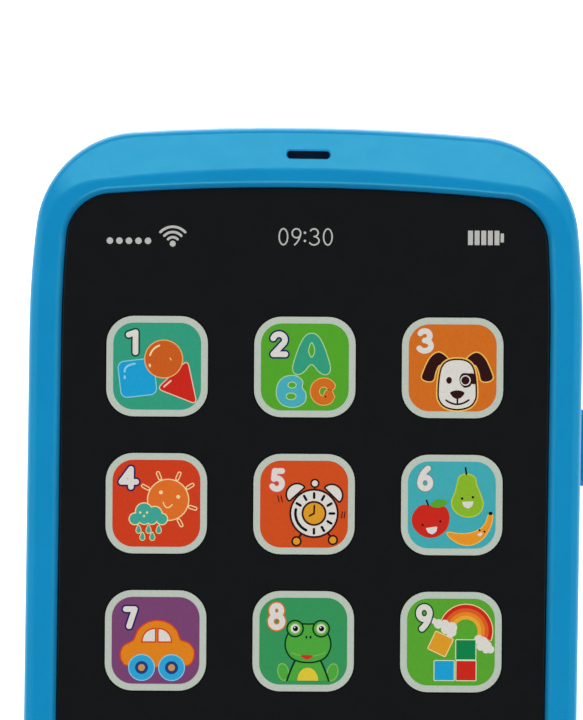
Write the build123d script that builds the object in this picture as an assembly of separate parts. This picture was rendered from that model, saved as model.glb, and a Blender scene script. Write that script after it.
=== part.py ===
from build123d import *
import os
from dataclasses import dataclass
from math import asin, atan2, cos, hypot, pi, radians, sin, sqrt, tan

# A child's toy cell phone: a two-part moulded casing with a black printed touch screen,
# a side button, a home button, a slide switch, a loudspeaker and three AAA cells.
# It lies on its back: X is its width, Y its length with the earpiece end at +Y, and
# the screen faces +Z. The origin is the middle of the flat back. Millimetres.

# ---- Driving dimensions -------------------------------------------------------------
WIDTH = 75.0
LENGTH = 146.0
THICKNESS = 20.0
SEAM_Z = 8.0                 # where the front and rear casings meet
WALL = 1.8
REAR_ROUND = 5.5             # radius of the edge round the back
FRONT_DRAFT = 0.35           # the front casing's side leans in by this much
SHOULDER_ANGLE = 25.0        # slope of the band outside the screen's rim
SHOULDER_ROUND = 1.15
CREASE_ROUND = 1.6

LENS_TOP = 18.9
LENS_THICK = 1.5
TAPE_THICK = 0.2
LEDGE_THICK = 1.2
LEDGE_REACH = 2.2
LENS_GAP = 0.08              # round the lens in its pocket
OPENING_DRAFT = 0.45         # the opening's wall leans out by this much
OPENING_ROUND = 1.0

BOARD_TOP = 15.6
BOARD_THICK = 1.2
BOARD_HALF_W = 31.0
BOARD_HALF_L = 56.8
GUIDE_THICK = 1.6

ICON_PITCH_X = 19.86
ICON_PITCH_Y = 18.44
ICON_TOP_ROW_Y = 40.7
ICON_COLUMNS = 3
ICON_ROWS = 5

HOME_Y = -51.5
HOME_R = 6.0
HOME_GAP = 0.2

SIDE_KEY_Y = 30.2
SIDE_KEY_Z = 11.2
SIDE_KEY_LONG = 10.4
SIDE_KEY_TALL = 3.4
SIDE_KEY_OUT = 1.0
SIDE_KEY_GAP = 0.2

SLOT_LONG = 5.8
SLOT_WIDE = 1.05
SLOT_Y = 69.2
SLOT_ROUND = 0.2             # eases the slot's front edge

SPEAKER_Y = 40.0
SPEAKER_R = 14.5
SWITCH_Y = 11.5
SWITCH_TRAVEL = 4.0

CELL_R = 5.25
CELL_LONG = 44.5
CELL_PITCH = 11.3
CELL_Z = 7.3
CELL_COUNT = 3
TUB_HALF_W = 17.0
TUB_TOP_Y = -3.2
TUB_BOTTOM_Y = -53.2
TUB_WALL = 1.2
TUB_ROOF_Z = 12.85
CONTACT_THICK = 0.4
SPRING_LONG = 4.7

LID_HALF_W = 19.0
LID_TOP_Y = 4.8
LID_BOTTOM_Y = -61.2
LID_CORNER = 3.0
LID_RECESS = 0.3             # the lid lies this much inside the back face
LID_THICK = 1.5
LID_GAP = 0.15
LID_SCREW_YS = (-57.4, 1.2)

CASE_SCREW_X = 27.5
CASE_SCREW_Y = 62.5
BOARD_SCREW_X = 26.0
BOARD_SCREW_YS = (-42.0, 4.0, 50.0)
PILOT_R = 1.1
THREAD_R = 1.05
SCREW_HOLE_R = 1.3           # a shank passes through this freely
WIRE_R = 0.5

LENS_BOTTOM = LENS_TOP - LENS_THICK
LEDGE_TOP = LENS_BOTTOM - TAPE_THICK
LEDGE_BOTTOM = LEDGE_TOP - LEDGE_THICK
BOARD_BOTTOM = BOARD_TOP - BOARD_THICK
LID_TOP_Z = LID_RECESS + LID_THICK
CELL_XS = [CELL_PITCH * (i - (CELL_COUNT - 1) / 2) for i in range(CELL_COUNT)]


# ---- Outlines made of tangent arcs ---------------------------------------------------
@dataclass(frozen=True)
class Outline:
    """A rounded oblong: bowed ends, round corners, and sides that are straight in the
    middle and curve in towards the corners."""

    half_w: float
    half_l: float
    corner_r: float
    end_r: float
    side_r: float
    side_start: float

    def inset(self, by):
        return Outline(
            self.half_w - by,
            self.half_l - by,
            self.corner_r - by,
            self.end_r - by,
            self.side_r - by,
            self.side_start,
        )

    def corner_centre(self):
        """Where the corner arc touches both the end's arc and the side's arc."""
        end_y = self.half_l - self.end_r
        side_x = self.half_w - self.side_r
        from_end = self.end_r - self.corner_r
        from_side = self.side_r - self.corner_r
        dx, dy = side_x, self.side_start - end_y
        apart = hypot(dx, dy)
        along = (from_end**2 - from_side**2 + apart**2) / (2 * apart)
        off = sqrt(from_end**2 - along**2)
        ux, uy = dx / apart, dy / apart
        return along * ux + off * uy, end_y + along * uy - off * ux

    def wire(self, z):
        cx, cy = self.corner_centre()
        end_y = self.half_l - self.end_r
        side_x = self.half_w - self.side_r
        end_angle = atan2(cy - end_y, cx)
        side_angle = atan2(cy - self.side_start, cx - side_x)
        pieces = []
        for turned in (False, True):

            def place(x, y):
                return (-x, -y, z) if turned else (x, y, z)

            def arc(x, y, r, start, end):
                middle = (start + end) / 2
                points = [(x + r * cos(a), y + r * sin(a)) for a in (start, middle, end)]
                return ThreePointArc(*[place(*p) for p in points])

            pieces += [
                arc(0, end_y, self.end_r, pi - end_angle, end_angle),
                arc(cx, cy, self.corner_r, end_angle, side_angle),
                arc(side_x, self.side_start, self.side_r, side_angle, 0),
                Line(place(self.half_w, self.side_start), place(self.half_w, -self.side_start)),
                arc(side_x, -self.side_start, self.side_r, 0, -side_angle),
                arc(cx, -cy, self.corner_r, -side_angle, -end_angle),
            ]
        return Wire([p.edge() for p in pieces])

    def prism(self, low, high):
        return extrude(Face(self.wire(low)), amount=high - low, dir=(0, 0, 1))

    def frustum(self, low, other, high):
        return Solid.make_loft([self.wire(low), other.wire(high)], ruled=True)


CASING = Outline(WIDTH / 2, LENGTH / 2, 14.2, 306.0, 126.0, 45.4)
OPENING = Outline(32.9, 64.85, 6.3, 312.8, 179.8, 45.0)      # the screen's recess
CREASE = Outline(36.0, 67.2, 8.0, 210.0, 180.0, 45.0)        # where the shoulder begins to fall away


# ---- Small helpers -------------------------------------------------------------------
def block(x, y, z):
    """A box from (low, high) pairs."""
    size = [b - a for a, b in (x, y, z)]
    return Pos(*[(a + b) / 2 for a, b in (x, y, z)]) * Box(*size)


def round_block(x, y, z, corner):
    """A box whose four upright edges are round."""
    middle = Pos((x[0] + x[1]) / 2, (y[0] + y[1]) / 2, z[0])
    sketch = RectangleRounded(x[1] - x[0], y[1] - y[0], corner)
    return middle * extrude(sketch, amount=z[1] - z[0])


def facing_right(x, y, z):
    """A plane that faces +X, with its own x along the phone's length."""
    return Plane(origin=(x, y, z), x_dir=(0, 1, 0), z_dir=(1, 0, 0))


def post(x, y, r, low, high):
    return Pos(x, y, (low + high) / 2) * Cylinder(r, high - low)


def tube(x, y, r_out, r_in, low, high):
    return post(x, y, r_out, low, high) - post(x, y, r_in, low, high)


def joined(shapes):
    shapes = list(shapes)
    whole = shapes[0]
    for s in shapes[1:]:
        whole = whole + s
    return whole


def mirrored_points(x, ys):
    return [(side * x, y) for y in ys for side in (-1, 1)]


def screw(x, y, head_low, head_tall, head_r, length, points_up):
    """A pan-head screw with a cross recess; its shank rises from the head if points_up."""
    head = post(0, 0, head_r, 0, head_tall)
    head = fillet(head.edges().filter_by(GeomType.CIRCLE).group_by(Axis.Z)[0], head_tall * 0.4)
    arm = (head_r * 1.2, head_r * 0.3, head_tall * 0.9)
    recess = Box(*arm) + Rot(0, 0, 90) * Box(*arm)
    body = head - recess + post(0, 0, THREAD_R, head_tall, head_tall + length)
    if points_up:
        return Pos(x, y, head_low) * body
    return Pos(x, y, head_low + head_tall) * Rot(180, 0, 0) * body


CASE_SCREW_PLACES = mirrored_points(CASE_SCREW_X, (-CASE_SCREW_Y, CASE_SCREW_Y))
BOARD_SCREW_PLACES = mirrored_points(BOARD_SCREW_X, BOARD_SCREW_YS)
ICON_PLACES = [
    ((col - 1) * ICON_PITCH_X, ICON_TOP_ROW_Y - row * ICON_PITCH_Y)
    for row in range(ICON_ROWS)
    for col in range(ICON_COLUMNS)
]


# ---- Casing --------------------------------------------------------------------------
LIP_TALL = 1.2
LIP_THICK = 0.8
LIP_GAP = 0.1
CASE_HEAD_Z = 5.2            # the case screws' heads seat here
CASE_BOSS_R = 3.2            # the front casing's bosses
REAR_BOSS_R = 3.8            # and the rear casing's, round the screw heads
HEAD_WELL_R = 2.9
BOARD_POST_R = 2.6
SHOULDER_REACH = 10.0        # how far the shoulder's slope is carried, past the side


def front_case():
    drop = SHOULDER_REACH * tan(radians(SHOULDER_ANGLE))
    sides = CASING.frustum(SEAM_Z, CASING.inset(FRONT_DRAFT), THICKNESS)
    roof = CREASE.inset(-SHOULDER_REACH).frustum(THICKNESS - drop, CREASE, THICKNESS)
    tall_roof = roof + CREASE.inset(-SHOULDER_REACH).prism(SEAM_Z - 1, THICKNESS - drop)
    body = sides & tall_roof
    top = body.faces().sort_by(Axis.Z)[-1]
    body = fillet(top.edges(), CREASE_ROUND)
    body = round_shoulder(body)
    body = body - CASING.inset(WALL + 0.1).prism(SEAM_Z - 1, LEDGE_BOTTOM)
    body = body - OPENING.inset(LEDGE_REACH).prism(LEDGE_BOTTOM - 1, LEDGE_TOP + 1)
    body = body - OPENING.prism(LEDGE_TOP, LENS_TOP)
    body = body - OPENING.frustum(LENS_TOP, OPENING.inset(-OPENING_DRAFT), THICKNESS)
    rim = body.faces().filter_by(Plane.XY).sort_by(Axis.Z)[-1]
    body = fillet(rim.inner_wires()[0].edges(), OPENING_ROUND)
    for x, y in CASE_SCREW_PLACES:
        body = body + post(x, y, CASE_BOSS_R, SEAM_Z + 0.1, LEDGE_BOTTOM + 0.2)
        body = body - post(x, y, PILOT_R, SEAM_Z, LEDGE_BOTTOM - 0.8)
    body = round_slot(body - earpiece_cut()) - side_key_hole()
    rebate = CASING.inset(WALL - LIP_THICK - LIP_GAP).prism(SEAM_Z - 1, SEAM_Z + LIP_TALL + LIP_GAP)
    rebate = rebate - CASING.inset(WALL + 0.1).prism(SEAM_Z - 1, SEAM_Z + LIP_TALL + LIP_GAP)
    return body - rebate


def round_shoulder(body):
    """Rounds the edge between the casing's side and its sloping shoulder."""
    def on_side(edge):
        middle = edge @ 0.5
        low = THICKNESS - 4.5
        return low < middle.Z < THICKNESS - 0.3 and edge.bounding_box().min.Z > low

    candidates = [e for e in body.edges() if on_side(e)]
    outer = [e for e in candidates if is_outermost(e)]
    return fillet(outer, SHOULDER_ROUND)


def is_outermost(edge):
    """True for an edge that runs along the casing's drafted side, end to end."""
    for t in (0.02, 0.5, 0.98):
        p = edge @ t
        share = (p.Z - SEAM_Z) / (THICKNESS - SEAM_Z)
        side = Face(CASING.inset(FRONT_DRAFT * share).wire(p.Z))
        if side.outer_wire().distance_to(p) > 0.02:
            return False
    return True


EAR_POCKET_TOP = 17.6
MESH_THICK = 0.3


def earpiece_cut():
    pocket = round_block((-6, 6), (SLOT_Y - 1.6, SLOT_Y + 1.6), (LEDGE_BOTTOM - 1, EAR_POCKET_TOP), 1)
    slot = Pos(0, SLOT_Y, EAR_POCKET_TOP - 1) * extrude(SlotOverall(SLOT_LONG, SLOT_WIDE), amount=5)
    return pocket + slot


def round_slot(body):
    """Eases the front edge of the earpiece slot."""
    def round_the_slot(edge):
        middle = edge @ 0.5
        return abs(middle.X) < SLOT_LONG / 2 + 0.1 and abs(middle.Y - SLOT_Y) < SLOT_WIDE / 2 + 0.1

    rim = [e for e in body.edges() if round_the_slot(e) and (e @ 0.5).Z > EAR_POCKET_TOP + 0.5]
    return fillet(rim, SLOT_ROUND)


def earpiece_mesh():
    low = EAR_POCKET_TOP - MESH_THICK
    return round_block((-5.8, 5.8), (SLOT_Y - 1.4, SLOT_Y + 1.4), (low, EAR_POCKET_TOP), 0.8)


def side_key_hole():
    long = SIDE_KEY_LONG + 2 * SIDE_KEY_GAP
    tall = SIDE_KEY_TALL + 2 * SIDE_KEY_GAP
    plane = facing_right(30, SIDE_KEY_Y, SIDE_KEY_Z)
    return extrude(plane * RectangleRounded(long, tall, 1.1), amount=10)


def rear_shell(wall_in, floor_z):
    """The rounded rear form, set in by wall_in, with its flat at floor_z."""
    form = CASING.inset(wall_in).prism(floor_z, SEAM_Z)
    return fillet(form.faces().sort_by(Axis.Z)[0].edges(), REAR_ROUND - wall_in)


def rear_case():
    body = rear_shell(0, 0) - rear_cavity()
    lip = CASING.inset(WALL - LIP_THICK).prism(SEAM_Z - 1, SEAM_Z + LIP_TALL)
    body = body + (lip - CASING.inset(WALL).prism(SEAM_Z - 1, SEAM_Z + LIP_TALL))
    body = body + case_bosses() + board_posts() + battery_tub() + switch_pad() + speaker_seat()
    body = body - case_screw_holes() - board_pilots() - tub_space() - lid_space()
    body = body - switch_cut() - speaker_cuts()
    return body


def rear_cavity():
    upper = CASING.inset(WALL).prism(SEAM_Z - 0.5, SEAM_Z + 0.01)
    return rear_shell(WALL, WALL) + upper


def case_bosses():
    return joined(post(x, y, REAR_BOSS_R, 0.5, SEAM_Z) for x, y in CASE_SCREW_PLACES)


def case_screw_holes():
    wide = joined(post(x, y, HEAD_WELL_R, -1, CASE_HEAD_Z) for x, y in CASE_SCREW_PLACES)
    return wide + joined(post(x, y, SCREW_HOLE_R, 0, SEAM_Z + 1) for x, y in CASE_SCREW_PLACES)


def board_posts():
    return joined(post(x, y, BOARD_POST_R, 1, BOARD_BOTTOM) for x, y in BOARD_SCREW_PLACES)


def board_pilots():
    return joined(post(x, y, PILOT_R, BOARD_BOTTOM - 6, BOARD_BOTTOM + 1) for x, y in BOARD_SCREW_PLACES)


def battery_tub():
    """The battery box's walls and roof, and the thicker floor round the lid."""
    half_w = TUB_HALF_W + TUB_WALL
    y = (TUB_BOTTOM_Y - TUB_WALL, TUB_TOP_Y + TUB_WALL)
    box = block((-half_w, half_w), y, (1, TUB_ROOF_Z + 1))
    edge = 1.6
    y_floor = (LID_BOTTOM_Y - edge, LID_TOP_Y + edge)
    floor = round_block((-LID_HALF_W - edge, LID_HALF_W + edge), y_floor, (0.5, LID_TOP_Z + 1.3), LID_CORNER)
    bosses = joined(post(0, y, 4.6, 1, 9.5) for y in LID_SCREW_YS)
    return box + floor + bosses


def tub_space():
    space = block((-TUB_HALF_W, TUB_HALF_W), (TUB_BOTTOM_Y, TUB_TOP_Y), (-1, TUB_ROOF_Z))
    for x, wall_y in ((CELL_XS[0], TUB_TOP_Y), (CELL_XS[-1], TUB_BOTTOM_Y)):
        space = space + block((x - 1.3, x + 1.3), (wall_y - 2, wall_y + 2), (8.5, 9.5))
    return space


def lid_outline(gap):
    x = (-LID_HALF_W - gap, LID_HALF_W + gap)
    return x, (LID_BOTTOM_Y - gap, LID_TOP_Y + gap), LID_CORNER + gap


LID_BOSS_R = 3.3
LID_BOSS_TOP = 3.2
LID_HEAD_SEAT = 1.75
LID_HEAD_WELL_R = 2.6


def lid_space():
    x, y, corner = lid_outline(LID_GAP)
    space = round_block(x, y, (-1, LID_TOP_Z + 0.1), corner)
    for screw_y in LID_SCREW_YS:
        space = space + post(0, screw_y, LID_BOSS_R + 0.15, 0, LID_BOSS_TOP + 0.1)
        space = space + post(0, screw_y, PILOT_R, 0, 8.7)
    return space


def battery_lid():
    x, y, corner = lid_outline(0)
    lid = round_block(x, y, (LID_RECESS, LID_TOP_Z), corner)
    lid = chamfer(lid.faces().sort_by(Axis.Z)[0].edges(), 0.3)
    for screw_y in LID_SCREW_YS:
        lid = lid + post(0, screw_y, LID_BOSS_R, LID_RECESS + 0.5, LID_BOSS_TOP)
    for screw_y in LID_SCREW_YS:
        lid = lid - post(0, screw_y, LID_HEAD_WELL_R, 0, LID_HEAD_SEAT)
        lid = lid - post(0, screw_y, SCREW_HOLE_R, 0, LID_BOSS_TOP + 1)
    for i in range(5):
        lid = lid - thumb_groove(i)
    return lid


def thumb_groove(index):
    y = LID_TOP_Y - 9 - 1.8 * index
    return Pos(0, y, LID_RECESS) * extrude(SlotOverall(16 - 2 * abs(index - 2), 0.9), amount=0.4)


def lid_screw(y):
    return screw(0, y, LID_HEAD_SEAT - 1.3, 1.3, 2.3, 6.4, True)


def lid_screw_lower():
    return lid_screw(LID_SCREW_YS[0])


def lid_screw_upper():
    return lid_screw(LID_SCREW_YS[1])


def case_screws():
    return [screw(x, y, CASE_HEAD_Z - 1.5, 1.5, 2.4, 9.0, True) for x, y in CASE_SCREW_PLACES]


def board_screws():
    return [screw(x, y, BOARD_TOP, 1.2, 1.9, 6.0, False) for x, y in BOARD_SCREW_PLACES]


# ---- Slide switch --------------------------------------------------------------------
PAD_TOP = 3.0
POCKET_DEEP = 1.4
SWITCH_BODY_TOP = 8.0
SWITCH_POST_X = 10.0
KNOB_START_X = -SWITCH_TRAVEL / 2
KNOB_LOW = 0.55              # the knob's face, inside the back face


def switch_pad():
    pad = round_block((-9, 9), (SWITCH_Y - 4.6, SWITCH_Y + 4.6), (1, PAD_TOP), 1.5)
    posts = joined(post(s * SWITCH_POST_X, SWITCH_Y, 2.3, 1, SWITCH_BODY_TOP) for s in (-1, 1))
    return pad + posts


def switch_cut():
    y = (SWITCH_Y - 3, SWITCH_Y + 3)
    pocket = round_block((-7.4, 7.4), y, (-1, POCKET_DEEP), 2.6)
    slot = block((-3.7, 3.7), (SWITCH_Y - 1.5, SWITCH_Y + 1.5), (0, PAD_TOP + 1))
    pilots = joined(
        post(s * SWITCH_POST_X, SWITCH_Y, PILOT_R, SWITCH_BODY_TOP - 4.5, SWITCH_BODY_TOP + 1)
        for s in (-1, 1)
    )
    return pocket + slot + pilots


def power_switch_body():
    """The switch's can, with the channel that its actuator slides in."""
    body = block((-6.4, 6.4), (SWITCH_Y - 3.2, SWITCH_Y + 3.2), (PAD_TOP + 0.1, SWITCH_BODY_TOP))
    return body - block((-4, 4), (SWITCH_Y - 1.5, SWITCH_Y + 1.5), (0, PAD_TOP + 1.9))


def power_switch_knob():
    x = KNOB_START_X
    stem = block((x - 1.4, x + 1.4), (SWITCH_Y - 1.3, SWITCH_Y + 1.3), (1, PAD_TOP + 1.7))
    cap = round_block((x - 3, x + 3), (SWITCH_Y - 2.3, SWITCH_Y + 2.3), (KNOB_LOW, POCKET_DEEP - 0.15), 0.8)
    for i in (-1, 0, 1):
        cap = cap - block((x + 1.4 * i - 0.3, x + 1.4 * i + 0.3), (SWITCH_Y - 3, SWITCH_Y + 3), (0, KNOB_LOW + 0.3))
    return stem + cap


def switch_board():
    x = (-13, 13)
    board = round_block(x, (SWITCH_Y - 4.4, SWITCH_Y + 4.4), (SWITCH_BODY_TOP, SWITCH_BODY_TOP + 1), 0.8)
    for s in (-1, 1):
        board = board - post(s * SWITCH_POST_X, SWITCH_Y, SCREW_HOLE_R, 5, 12)
    return board


def switch_screws():
    z = SWITCH_BODY_TOP + 1
    return [screw(s * SWITCH_POST_X, SWITCH_Y, z, 1.1, 1.8, 4.8, False) for s in (-1, 1)]


# ---- Loudspeaker ---------------------------------------------------------------------
GASKET_THICK = 0.8
CONE_SKIN = 0.25
CONE_LOW = WALL + GASKET_THICK
FLANGE_TOP = CONE_LOW + 0.8
BASKET_TOP = 7.3
MAGNET_R = 8.0
MAGNET_TOP = 11.2
TERMINAL_END_X = 12.6
CLAMP_R = SPEAKER_R + 3.3
CLAMP_PLACES = [
    (CLAMP_R * cos(radians(a)), SPEAKER_Y + CLAMP_R * sin(radians(a))) for a in (30, 150, 270)
]
GRILLE_HOLE_R = 0.85
GRILLE_STEP = 3.1
GRILLE_RINGS = 4


def speaker_seat():
    ring = tube(0, SPEAKER_Y, SPEAKER_R + 1.4, SPEAKER_R + 0.3, 1, FLANGE_TOP - 0.1)
    return ring + joined(post(x, y, 2.2, 1, FLANGE_TOP) for x, y in CLAMP_PLACES)


def grille_places():
    """Rings of holes round a middle one, six more in each ring."""
    places = [(0, SPEAKER_Y)]
    for ring in range(1, GRILLE_RINGS + 1):
        for i in range(6 * ring):
            a = 2 * pi * i / (6 * ring)
            places.append((ring * GRILLE_STEP * cos(a), SPEAKER_Y + ring * GRILLE_STEP * sin(a)))
    return places


def speaker_cuts():
    """The sound holes, and the pilots of the three clamp screws."""
    holes = [post(x, y, GRILLE_HOLE_R, -1, WALL + 0.5) for x, y in grille_places()]
    pilots = [post(x, y, PILOT_R, 0.9, FLANGE_TOP + 1) for x, y in CLAMP_PLACES]
    return Part() + holes + pilots


def speaker_gasket():
    return tube(0, SPEAKER_Y, SPEAKER_R, SPEAKER_R - 1.6, WALL, WALL + GASKET_THICK)


def speaker_basket():
    """Pressed steel: a flat flange and a cup with its opening to the back of the phone."""
    low = CONE_LOW + CONE_SKIN
    profile = Polyline(
        (SPEAKER_R - 1.6, low), (SPEAKER_R, low), (SPEAKER_R, FLANGE_TOP),
        (SPEAKER_R - 1.1, FLANGE_TOP), (9.2, BASKET_TOP), (4.0, BASKET_TOP),
        (4.0, BASKET_TOP - 0.5), (8.8, BASKET_TOP - 0.5), close=True,
    )
    return spun_about_speaker(profile)


def spun_about_speaker(profile):
    return Pos(0, SPEAKER_Y, 0) * revolve(Plane.XZ * make_face(profile), Axis.Z)


def speaker_cone():
    """The pressed diaphragm: a flat edge, a rolled surround, the cone and its middle dome."""
    low = CONE_LOW
    edge, roll_out, roll_in, dome_r, dome_deep = SPEAKER_R - 0.2, 12.6, 9.8, 4.4, 0.95
    neck = low + 2.6
    dome_mid = neck - dome_deep
    ball_r = (dome_r**2 + dome_deep**2) / (2 * dome_deep)
    half = asin(dome_r / ball_r) / 2
    on_dome = (ball_r * sin(half), dome_mid + ball_r * (1 - cos(half)))
    front = [
        Line((edge, low), (roll_out, low)),
        ThreePointArc((roll_out, low), ((roll_out + roll_in) / 2, low - 0.5), (roll_in, low)),
        Line((roll_in, low), (dome_r, neck)),
        ThreePointArc((dome_r, neck), on_dome, (0, dome_mid)),
    ]
    back = [Pos(0, CONE_SKIN) * line for line in front]
    ends = [
        Line((edge, low), (edge, low + CONE_SKIN)),
        Line((0, dome_mid), (0, dome_mid + CONE_SKIN)),
    ]
    return spun_about_speaker(front + back + ends)


def speaker_magnet():
    magnet = post(0, SPEAKER_Y, MAGNET_R, BASKET_TOP, MAGNET_TOP)
    return chamfer(magnet.edges().filter_by(GeomType.CIRCLE), 0.5)


def speaker_terminals():
    """The fibre strip that the two wires are soldered to, glued to the basket's shoulder."""
    x = (MAGNET_R + 0.3, TERMINAL_END_X)
    return block(x, (SPEAKER_Y - 3.5, SPEAKER_Y + 3.5), (BASKET_TOP, BASKET_TOP + 0.8))


def speaker_washers():
    return [tube(x, y, 3.9, SCREW_HOLE_R, FLANGE_TOP, FLANGE_TOP + 0.5) for x, y in CLAMP_PLACES]


def speaker_screws():
    z = FLANGE_TOP + 0.5
    return [screw(x, y, z, 1.2, 2.0, 2.6, False) for x, y in CLAMP_PLACES]


# ---- Screen, light guide and board -----------------------------------------------------
def screen_lens():
    lens = OPENING.inset(LENS_GAP).prism(LENS_BOTTOM, LENS_TOP)
    lens = fillet(lens.faces().sort_by(Axis.Z)[-1].edges(), 0.25)
    hole = post(0, HOME_Y, HOME_R + HOME_GAP, LENS_BOTTOM - 1, LENS_TOP + 1)
    lens = lens - hole
    return fillet(lens.faces().sort_by(Axis.Z)[-1].inner_wires()[0].edges(), 0.25)


def lens_tape():
    outer = OPENING.inset(LENS_GAP + 0.1)
    return outer.prism(LEDGE_TOP, LENS_BOTTOM) - OPENING.inset(LEDGE_REACH).prism(LEDGE_TOP - 1, LENS_TOP)


LED_SIZE = 1.6
LED_TALL = 0.8


def light_guide():
    """A frosted sheet under the screen, with windows for the lamps and the screw heads."""
    guide = OPENING.inset(LEDGE_REACH + 0.4).prism(BOARD_TOP, BOARD_TOP + GUIDE_THICK)
    cuts = [post(0, HOME_Y, HOME_R + 1.8, BOARD_TOP - 1, LENS_TOP)]
    for x, y in ICON_PLACES:
        window = ((x - 1.2, x + 1.2), (y - 1.2, y + 1.2), (BOARD_TOP - 1, BOARD_TOP + LED_TALL + 0.2))
        cuts.append(block(*window))
    cuts += [post(x, y, 2.3, BOARD_TOP - 1, LENS_TOP) for x, y in BOARD_SCREW_PLACES]
    cuts += [post(x, y, CASE_BOSS_R + 0.3, BOARD_TOP - 1, LENS_TOP) for x, y in CASE_SCREW_PLACES]
    return guide - cuts


def touch_board():
    half_w, half_l = BOARD_HALF_W, BOARD_HALF_L
    board = round_block((-half_w, half_w), (-half_l, half_l), (BOARD_BOTTOM, BOARD_TOP), 2)
    holes = [post(x, y, SCREW_HOLE_R, BOARD_BOTTOM - 1, BOARD_TOP + 1) for x, y in BOARD_SCREW_PLACES]
    return board - holes


def key_leds():
    half = LED_SIZE / 2
    z = (BOARD_TOP, BOARD_TOP + LED_TALL)
    return [block((x - half, x + half), (y - half, y + half), z) for x, y in ICON_PLACES]


CHIP_PLACE = (-17.0, 26.0)


def chip_blob():
    """The epoxy dome over the sound chip, on the underside of the board."""
    dome_r, dome_tall = 7.0, 1.8
    ball_r = (dome_r**2 + dome_tall**2) / (2 * dome_tall)
    ball = Pos(*CHIP_PLACE, BOARD_BOTTOM + ball_r - dome_tall) * Sphere(ball_r)
    return ball & block((-30, 0), (15, 40), (BOARD_BOTTOM - dome_tall - 1, BOARD_BOTTOM))


def smd_parts():
    """Resistors and capacitors beside the chip."""
    z = (BOARD_BOTTOM - 0.6, BOARD_BOTTOM)
    places = [(-27.0 + 3.2 * i, 15.5) for i in range(5)] + [(24.5, 38.0 + 3.0 * i) for i in range(3)]
    return [block((x - 1, x + 1), (y - 0.6, y + 0.6), z) for x, y in places]


def capacitor():
    """A can that lies on its side under the board."""
    can = Pos(24.5, 15.5, BOARD_BOTTOM - 2.52) * Rot(90, 0, 0) * Cylinder(2.5, 7)
    return fillet(can.edges().filter_by(GeomType.CIRCLE), 0.4)


# ---- Buttons ---------------------------------------------------------------------------
SIDE_SWITCH_X = (27.0, 30.4)
INNER_WALL_X = WIDTH / 2 - WALL - 0.1
FLANGE_REACH = 0.9


def side_button():
    """The cap through the casing's side, its flange inside the wall, and its stem."""
    outer_x = WIDTH / 2 + SIDE_KEY_OUT
    flange_x = INNER_WALL_X - 0.12
    long, tall = SIDE_KEY_LONG, SIDE_KEY_TALL
    plane = facing_right(flange_x, SIDE_KEY_Y, SIDE_KEY_Z)
    cap = extrude(plane * RectangleRounded(long, tall, 1.0), amount=outer_x - flange_x)
    cap = fillet(cap.faces().sort_by(Axis.X)[-1].edges(), 0.55)
    reach = 2 * FLANGE_REACH
    flange = extrude(plane * RectangleRounded(long + reach, tall + reach, 1.4), amount=-0.9)
    stem = block((SIDE_SWITCH_X[1] + 1.0, flange_x - 0.5), (SIDE_KEY_Y - 1.5, SIDE_KEY_Y + 1.5),
                 (SIDE_KEY_Z - 1.2, SIDE_KEY_Z + 1.2))
    return cap + flange + stem


def side_switch_body():
    x0, x1 = SIDE_SWITCH_X
    body = block((x0, x1), (SIDE_KEY_Y - 3, SIDE_KEY_Y + 3), (SIDE_KEY_Z - 2.2, BOARD_BOTTOM))
    bore = Pos(x1 - 1, SIDE_KEY_Y, SIDE_KEY_Z) * Rot(0, 90, 0) * Cylinder(1.3, 3.2)
    return body - bore


def side_switch_plunger():
    x1 = SIDE_SWITCH_X[1]
    long = 2.6
    return Pos(x1 + 0.97 - long / 2, SIDE_KEY_Y, SIDE_KEY_Z) * Rot(0, 90, 0) * Cylinder(1.1, long)


HOME_DOME_TALL = 1.4


def home_button():
    """A dished cap, a lip under the lens that keeps it in, and a boss that presses the dome."""
    lip_low = LENS_BOTTOM - 0.85
    top = LENS_TOP + 0.45
    cap = post(0, HOME_Y, HOME_R, lip_low, top)
    cap = fillet(cap.edges().filter_by(GeomType.CIRCLE).group_by(Axis.Z)[-1], 0.5)
    cap = cap + post(0, HOME_Y, HOME_R + 1.1, lip_low, LENS_BOTTOM - 0.1)
    dish_r = 30.0
    cap = cap - Pos(0, HOME_Y, top - 0.35 + dish_r) * Sphere(dish_r)
    cap = cap - post(0, HOME_Y, HOME_R - 1.0, lip_low - 1, LENS_TOP - 1.0)
    return cap + post(0, HOME_Y, 1.8, BOARD_TOP + HOME_DOME_TALL + 0.05, LENS_TOP - 0.8)


def home_dome():
    """A silicone dome, hollow under its crown, that lifts the home button back."""
    wall = 0.5
    z = BOARD_TOP
    outside = [(4.6, z), (4.6, z + 0.35), (3.6, z + 0.35), (2.3, z + HOME_DOME_TALL), (0, z + HOME_DOME_TALL)]
    inside = [(0, z + HOME_DOME_TALL - wall), (1.9, z + HOME_DOME_TALL - wall), (3.1, z)]
    return Pos(0, HOME_Y, 0) * revolve(Plane.XZ * make_face(Polyline(*outside, *inside, close=True)), Axis.Z)


# ---- Cells and contacts ------------------------------------------------------------------
def cell_direction(index):
    """+1 where the cell's positive end is at the top of the phone."""
    return 1 if index % 2 == 0 else -1


def cell_base_y(index):
    """Where the flat end of a cell lies, clear of its spring."""
    low = TUB_BOTTOM_Y + CONTACT_THICK + SPRING_LONG
    high = TUB_TOP_Y - CONTACT_THICK - SPRING_LONG
    return low if cell_direction(index) > 0 else high


def batteries():
    nub_long = 0.9
    cells = []
    for i, x in enumerate(CELL_XS):
        can_long = CELL_LONG - nub_long
        can = Pos(0, 0, can_long / 2) * Cylinder(CELL_R, can_long)
        can = fillet(can.edges().filter_by(GeomType.CIRCLE), 0.4)
        cell = can + Pos(0, 0, can_long + nub_long / 2) * Cylinder(1.9, nub_long)
        turn = Rot(-90 * cell_direction(i), 0, 0)
        cells.append(Pos(x, cell_base_y(i), CELL_Z) * turn * cell)
    return cells


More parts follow.
